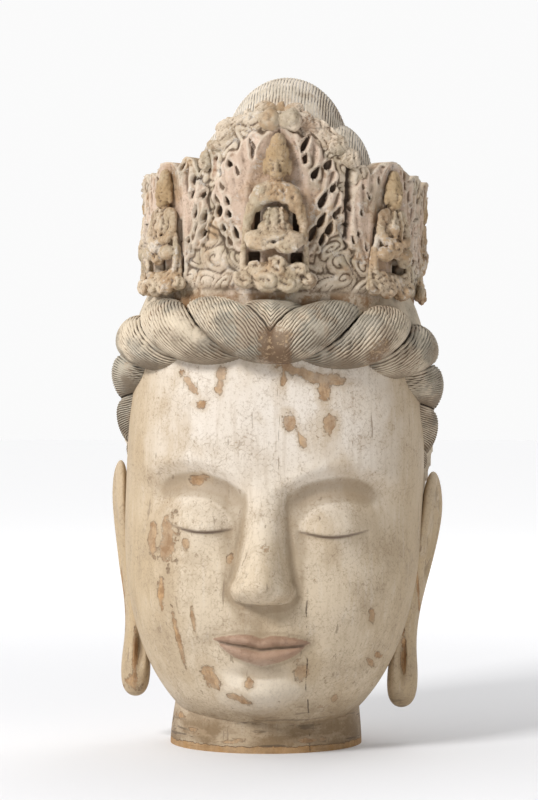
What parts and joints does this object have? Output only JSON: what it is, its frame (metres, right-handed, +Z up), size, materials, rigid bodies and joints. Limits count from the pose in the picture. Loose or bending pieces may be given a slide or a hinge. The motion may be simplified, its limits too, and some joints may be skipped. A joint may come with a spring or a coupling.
{
  "type": "bodhisattva head sculpture",
  "caption": "Carved and painted wooden head with closed eyes, long ears, a twisted roll of hair and a tall crown of seated figures, standing on the flat cut of its neck.",
  "frame": {"origin": "middle of the flat underside of the neck, on the ground", "axes": "+Z up, the face looks along -Y, its left cheek is on the viewer's right at +X"},
  "size_m": [0.2859, 0.2747, 0.5599],
  "materials": {
    "painted_wood": "carved wood under a thin cream ground and worn matt paint, dusty in the hollows"
  },
  "bodies": {
    "root": {"bodhisattva_head": "painted_wood"}
  },
  "joints": []
}
